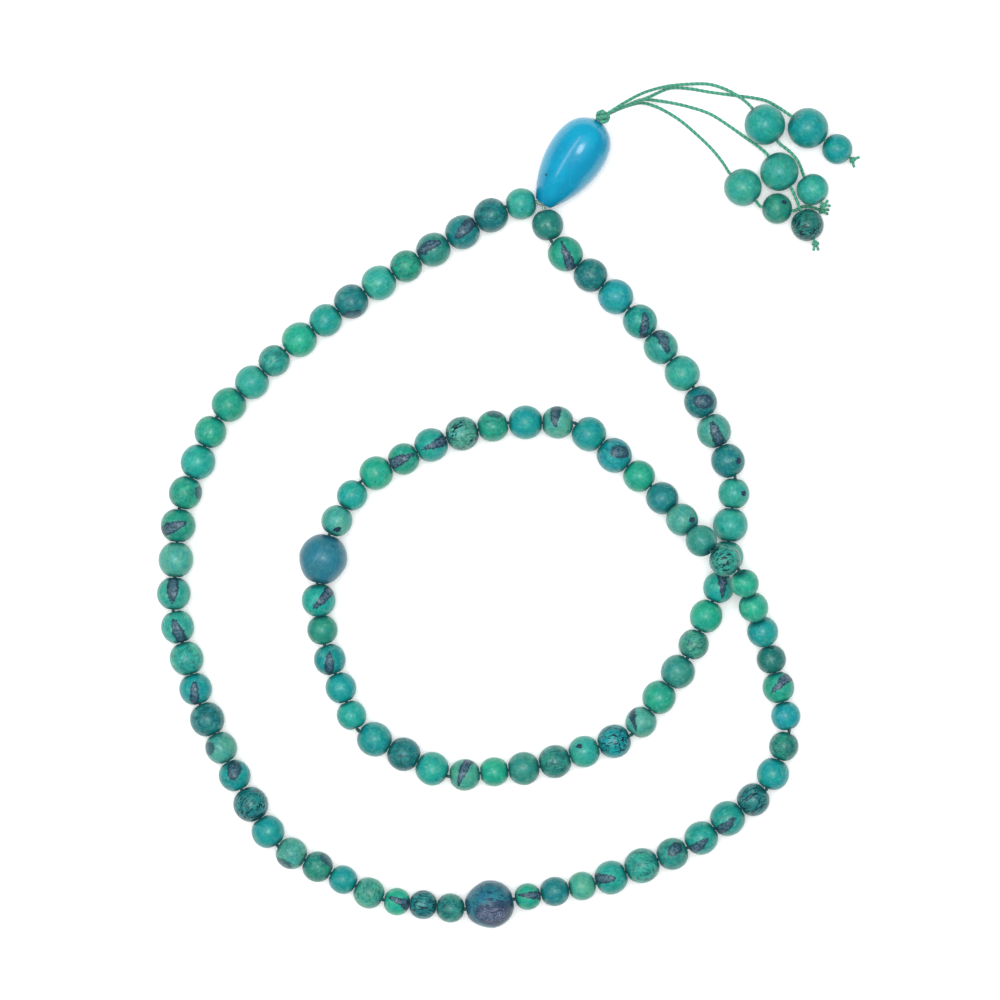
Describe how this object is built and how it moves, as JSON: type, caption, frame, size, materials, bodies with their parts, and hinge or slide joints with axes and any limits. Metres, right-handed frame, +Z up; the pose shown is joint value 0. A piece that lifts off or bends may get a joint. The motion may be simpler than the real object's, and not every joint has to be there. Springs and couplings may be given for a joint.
{
  "type": "misbaha prayer beads",
  "caption": "Laid-flat strand of threaded seed beads in three sections, with two larger markers, a drop-shaped imame and a tassel of knotted tails.",
  "frame": {"origin": "middle of the footprint of the strand and tassel beads, on the surface that they lie on", "axes": "+Z up from the surface; +Y from the second marker towards the imame, along the longest side of the lay; +X towards the tassel's side"},
  "size_m": [0.169, 0.2031, 0.0168],
  "materials": {
    "seed": "satin dyed seed, jade green to teal with dark veins",
    "marker": "satin dyed seed, dark teal",
    "imame": "glossy bright blue",
    "loop_thread": "pale twisted thread",
    "tassel_thread": "green twisted waxed thread"
  },
  "bodies": {
    "threads": {"loop_thread_upper": "loop_thread", "loop_thread_lower": "loop_thread"},
    "imame": {"imame": "imame"},
    "marker_one": {"marker_one": "marker"},
    "marker_two": {"marker_two": "marker"},
    "seeds_one_01": {"seeds_one_01": "seed"},
    "seeds_one_02": {"seeds_one_02": "seed"},
    "seeds_one_03": {"seeds_one_03": "seed"},
    "seeds_one_04": {"seeds_one_04": "seed"},
    "seeds_one_05": {"seeds_one_05": "seed"},
    "seeds_one_06": {"seeds_one_06": "seed"},
    "seeds_one_07": {"seeds_one_07": "seed"},
    "seeds_one_08": {"seeds_one_08": "seed"},
    "seeds_one_09": {"seeds_one_09": "seed"},
    "seeds_one_10": {"seeds_one_10": "seed"},
    "seeds_one_11": {"seeds_one_11": "seed"},
    "seeds_one_12": {"seeds_one_12": "seed"},
    "seeds_two_01": {"seeds_two_01": "seed"},
    "seeds_two_02": {"seeds_two_02": "seed"},
    "seeds_two_03": {"seeds_two_03": "seed"},
    "seeds_two_04": {"seeds_two_04": "seed"},
    "seeds_two_05": {"seeds_two_05": "seed"},
    "seeds_two_06": {"seeds_two_06": "seed"},
    "seeds_two_07": {"seeds_two_07": "seed"},
    "seeds_two_08": {"seeds_two_08": "seed"},
    "seeds_two_09": {"seeds_two_09": "seed"},
    "seeds_two_10": {"seeds_two_10": "seed"},
    "seeds_two_11": {"seeds_two_11": "seed"},
    "seeds_two_12": {"seeds_two_12": "seed"},
    "seeds_two_13": {"seeds_two_13": "seed"},
    "seeds_three_01": {"seeds_three_01": "seed"},
    "seeds_three_02": {"seeds_three_02": "seed"},
    "seeds_three_03": {"seeds_three_03": "seed"},
    "seeds_three_04": {"seeds_three_04": "seed"},
    "seeds_three_05": {"seeds_three_05": "seed"},
    "seeds_three_06": {"seeds_three_06": "seed"},
    "seeds_three_07": {"seeds_three_07": "seed"},
    "seeds_three_08": {"seeds_three_08": "seed"},
    "seeds_three_09": {"seeds_three_09": "seed"},
    "seeds_three_10": {"seeds_three_10": "seed"},
    "seeds_three_11": {"seeds_three_11": "seed"},
    "seeds_three_12": {"seeds_three_12": "seed"},
    "tassel": {"top_knot": "tassel_thread", "tail_c": "tassel_thread", "tail_d": "tassel_thread", "end_knot_c": "tassel_thread", "end_knot_d": "tassel_thread"},
    "swing_tail_a": {"tail_a": "tassel_thread", "end_knot_a": "tassel_thread"},
    "swing_tail_b": {"tail_b": "tassel_thread", "end_knot_b": "tassel_thread"},
    "large_bead_a": {"large_bead_a": "seed"},
    "small_bead_a": {"small_bead_a": "seed"},
    "large_bead_b": {"large_bead_b": "seed"},
    "small_bead_b": {"small_bead_b": "seed"},
    "large_bead_c": {"large_bead_c": "seed"},
    "small_bead_c": {"small_bead_c": "seed"},
    "large_bead_d": {"large_bead_d": "seed"},
    "small_bead_d": {"small_bead_d": "seed"}
  },
  "joints": [
    {"name": "imame_spin", "type": "hinge", "parent": "threads", "child": "imame", "pos_m": [0.01501, 0.08475, 0.0068], "axis": [0.5617, 0.8021, 0.2028], "continuous": true},
    {"name": "marker_one_spin", "type": "hinge", "parent": "threads", "child": "marker_one", "pos_m": [-0.0444, -0.01015, 0.006], "axis": [0.2406, 0.9706, 0], "continuous": true},
    {"name": "marker_two_spin", "type": "hinge", "parent": "threads", "child": "marker_two", "pos_m": [-0.0045, -0.09285, 0.0059], "axis": [-0.979, -0.204, 0], "continuous": true},
    {"name": "seeds_one_01_spin", "type": "hinge", "parent": "threads", "child": "seeds_one_01", "pos_m": [0.00945, 0.0698, 0.0043], "axis": [0.1936, -0.9811, 0], "continuous": true},
    {"name": "seeds_one_02_spin", "type": "hinge", "parent": "threads", "child": "seeds_one_02", "pos_m": [0.0196, 0.058, 0.0043], "axis": [0.7615, -0.6481, 0], "continuous": true},
    {"name": "seeds_one_03_spin", "type": "hinge", "parent": "threads", "child": "seeds_one_03", "pos_m": [0.03675, 0.0405, 0.0043], "axis": [0.6321, -0.7749, 0], "continuous": true},
    {"name": "seeds_one_04_spin", "type": "hinge", "parent": "threads", "child": "seeds_one_04", "pos_m": [0.0495, 0.02025, 0.0043], "axis": [0.4217, -0.9067, 0], "continuous": true},
    {"name": "seeds_one_05_spin", "type": "hinge", "parent": "threads", "child": "seeds_one_05", "pos_m": [0.05325, -0.002, 0.0043], "axis": [-0.1081, -0.9941, 0], "continuous": true},
    {"name": "seeds_one_06_spin", "type": "hinge", "parent": "threads", "child": "seeds_one_06", "pos_m": [0.0475, -0.02375, 0.0043], "axis": [-0.402, -0.9156, 0], "continuous": true},
    {"name": "seeds_one_07_spin", "type": "hinge", "parent": "threads", "child": "seeds_one_07", "pos_m": [0.03625, -0.04325, 0.0043], "axis": [-0.5895, -0.8078, 0], "continuous": true},
    {"name": "seeds_one_08_spin", "type": "hinge", "parent": "threads", "child": "seeds_one_08", "pos_m": [0.0185, -0.05625, 0.0043], "axis": [-0.9465, -0.3227, 0], "continuous": true},
    {"name": "seeds_one_09_spin", "type": "hinge", "parent": "threads", "child": "seeds_one_09", "pos_m": [-0.0035, -0.0612, 0.0043], "axis": [-0.9941, -0.1084, 0], "continuous": true},
    {"name": "seeds_one_10_spin", "type": "hinge", "parent": "threads", "child": "seeds_one_10", "pos_m": [-0.02535, -0.05685, 0.0043], "axis": [-0.8903, 0.4554, 0], "continuous": true},
    {"name": "seeds_one_11_spin", "type": "hinge", "parent": "threads", "child": "seeds_one_11", "pos_m": [-0.0402, -0.041, 0.0043], "axis": [-0.362, 0.9322, 0], "continuous": true},
    {"name": "seeds_one_12_spin", "type": "hinge", "parent": "threads", "child": "seeds_one_12", "pos_m": [-0.04505, -0.02345, 0.00515], "axis": [-0.1157, 0.9865, 0.1157], "continuous": true},
    {"name": "seeds_two_01_spin", "type": "hinge", "parent": "threads", "child": "seeds_two_01", "pos_m": [-0.0392, 0.0022, 0.00515], "axis": [0.503, 0.8565, -0.1156], "continuous": true},
    {"name": "seeds_two_02_spin", "type": "hinge", "parent": "threads", "child": "seeds_two_02", "pos_m": [-0.02525, 0.01375, 0.0043], "axis": [0.89, 0.4559, 0], "continuous": true},
    {"name": "seeds_two_03_spin", "type": "hinge", "parent": "threads", "child": "seeds_two_03", "pos_m": [-0.0075, 0.0208, 0.0043], "axis": [0.9724, 0.2334, 0], "continuous": true},
    {"name": "seeds_two_04_spin", "type": "hinge", "parent": "threads", "child": "seeds_two_04", "pos_m": [0.008, 0.0226, 0.0043], "axis": [1, 0, 0], "continuous": true},
    {"name": "seeds_two_05_spin", "type": "hinge", "parent": "threads", "child": "seeds_two_05", "pos_m": [0.0252, 0.0149, 0.0043], "axis": [0.7669, -0.6418, 0], "continuous": true},
    {"name": "seeds_two_06_spin", "type": "hinge", "parent": "threads", "child": "seeds_two_06", "pos_m": [0.04135, -0.00055, 0.00845], "axis": [0.6202, -0.6916, 0.3703], "continuous": true},
    {"name": "seeds_two_07_spin", "type": "hinge", "parent": "threads", "child": "seeds_two_07", "pos_m": [0.05165, -0.01045, 0.01285], "axis": [0.8399, -0.5391, 0.0627], "continuous": true},
    {"name": "seeds_two_08_spin", "type": "hinge", "parent": "threads", "child": "seeds_two_08", "pos_m": [0.0586, -0.0217, 0.0087], "axis": [0.3355, -0.8481, -0.4101], "continuous": true},
    {"name": "seeds_two_09_spin", "type": "hinge", "parent": "threads", "child": "seeds_two_09", "pos_m": [0.06485, -0.04115, 0.0043], "axis": [0.248, -0.9688, 0], "continuous": true},
    {"name": "seeds_two_10_spin", "type": "hinge", "parent": "threads", "child": "seeds_two_10", "pos_m": [0.06475, -0.0585, 0.0043], "axis": [-0.3657, -0.9308, 0], "continuous": true},
    {"name": "seeds_two_11_spin", "type": "hinge", "parent": "threads", "child": "seeds_two_11", "pos_m": [0.0525, -0.0725, 0.0043], "axis": [-0.8051, -0.5932, 0], "continuous": true},
    {"name": "seeds_two_12_spin", "type": "hinge", "parent": "threads", "child": "seeds_two_12", "pos_m": [0.032, -0.08375, 0.0043], "axis": [-0.9328, -0.3604, 0], "continuous": true},
    {"name": "seeds_two_13_spin", "type": "hinge", "parent": "threads", "child": "seeds_two_13", "pos_m": [0.01125, -0.0898, 0.0051], "axis": [-0.9802, -0.181, 0.0804], "continuous": true},
    {"name": "seeds_three_01_spin", "type": "hinge", "parent": "threads", "child": "seeds_three_01", "pos_m": [-0.02025, -0.09305, 0.0051], "axis": [-0.991, 0.1067, -0.0813], "continuous": true},
    {"name": "seeds_three_02_spin", "type": "hinge", "parent": "threads", "child": "seeds_three_02", "pos_m": [-0.04275, -0.0855, 0.0043], "axis": [-0.8909, 0.4542, 0], "continuous": true},
    {"name": "seeds_three_03_spin", "type": "hinge", "parent": "threads", "child": "seeds_three_03", "pos_m": [-0.05975, -0.07225, 0.0043], "axis": [-0.5328, 0.8462, 0], "continuous": true},
    {"name": "seeds_three_04_spin", "type": "hinge", "parent": "threads", "child": "seeds_three_04", "pos_m": [-0.069, -0.05525, 0.0043], "axis": [-0.4384, 0.8988, 0], "continuous": true},
    {"name": "seeds_three_05_spin", "type": "hinge", "parent": "threads", "child": "seeds_three_05", "pos_m": [-0.07725, -0.03375, 0.0043], "axis": [-0.2775, 0.9607, 0], "continuous": true},
    {"name": "seeds_three_06_spin", "type": "hinge", "parent": "threads", "child": "seeds_three_06", "pos_m": [-0.07975, -0.01025, 0.0043], "axis": [0.0611, 0.9981, 0], "continuous": true},
    {"name": "seeds_three_07_spin", "type": "hinge", "parent": "threads", "child": "seeds_three_07", "pos_m": [-0.0745, 0.013, 0.0043], "axis": [0.3786, 0.9255, 0], "continuous": true},
    {"name": "seeds_three_08_spin", "type": "hinge", "parent": "threads", "child": "seeds_three_08", "pos_m": [-0.06175, 0.032, 0.0043], "axis": [0.7179, 0.6961, 0], "continuous": true},
    {"name": "seeds_three_09_spin", "type": "hinge", "parent": "threads", "child": "seeds_three_09", "pos_m": [-0.044, 0.047, 0.0043], "axis": [0.8051, 0.5932, 0], "continuous": true},
    {"name": "seeds_three_10_spin", "type": "hinge", "parent": "threads", "child": "seeds_three_10", "pos_m": [-0.0245, 0.0601, 0.0043], "axis": [0.8537, 0.5208, 0], "continuous": true},
    {"name": "seeds_three_11_spin", "type": "hinge", "parent": "threads", "child": "seeds_three_11", "pos_m": [-0.00755, 0.0703, 0.0043], "axis": [0.8613, 0.5081, 0], "continuous": true},
    {"name": "seeds_three_12_spin", "type": "hinge", "parent": "threads", "child": "seeds_three_12", "pos_m": [0.003, 0.07505, 0.0043], "axis": [0.9841, 0.1777, 0], "continuous": true},
    {"name": "tassel_swing", "type": "hinge", "parent": "threads", "child": "tassel", "pos_m": [0.02276, 0.09582, 0.0096], "axis": [0, 0, 1], "range_deg": [-30, 90]},
    {"name": "tail_a_fan", "type": "hinge", "parent": "tassel", "child": "swing_tail_a", "pos_m": [0.02276, 0.09582, 0.0096], "axis": [0, 0, 1], "range_deg": [0, 24]},
    {"name": "tail_b_fan", "type": "hinge", "parent": "tassel", "child": "swing_tail_b", "pos_m": [0.02276, 0.09582, 0.0096], "axis": [0, 0, 1], "range_deg": [0, 12]},
    {"name": "large_bead_a_spin", "type": "hinge", "parent": "swing_tail_a", "child": "large_bead_a", "pos_m": [0.0715, 0.0934, 0.00505], "axis": [0.8159, -0.562, -0.136], "continuous": true},
    {"name": "small_bead_a_spin", "type": "hinge", "parent": "swing_tail_a", "child": "small_bead_a", "pos_m": [0.0789, 0.0883, 0.0038], "axis": [0.815, -0.5621, -0.1405], "continuous": true},
    {"name": "large_bead_b_spin", "type": "hinge", "parent": "swing_tail_b", "child": "large_bead_b", "pos_m": [0.0615, 0.094, 0.00495], "axis": [0.6139, -0.7894, 0], "continuous": true},
    {"name": "small_bead_b_spin", "type": "hinge", "parent": "swing_tail_b", "child": "small_bead_b", "pos_m": [0.073, 0.0785, 0.00395], "axis": [0.5547, -0.8321, 0], "continuous": true},
    {"name": "large_bead_c_spin", "type": "hinge", "parent": "tassel", "child": "large_bead_c", "pos_m": [0.065, 0.08275, 0.0047], "axis": [0.5767, -0.817, 0], "continuous": true},
    {"name": "small_bead_c_spin", "type": "hinge", "parent": "tassel", "child": "small_bead_c", "pos_m": [0.07175, 0.07, 0.004], "axis": [0.4008, -0.9162, 0], "continuous": true},
    {"name": "large_bead_d_spin", "type": "hinge", "parent": "tassel", "child": "large_bead_d", "pos_m": [0.05625, 0.079, 0.0046], "axis": [0.6805, -0.7328, 0], "continuous": true},
    {"name": "small_bead_d_spin", "type": "hinge", "parent": "tassel", "child": "small_bead_d", "pos_m": [0.0645, 0.07395, 0.00375], "axis": [0.9907, -0.1362, 0], "continuous": true}
  ],
  "couplings": [
    {"joint": "tail_b_fan", "follows": "tail_a_fan", "ratio": 0.5}
  ]
}
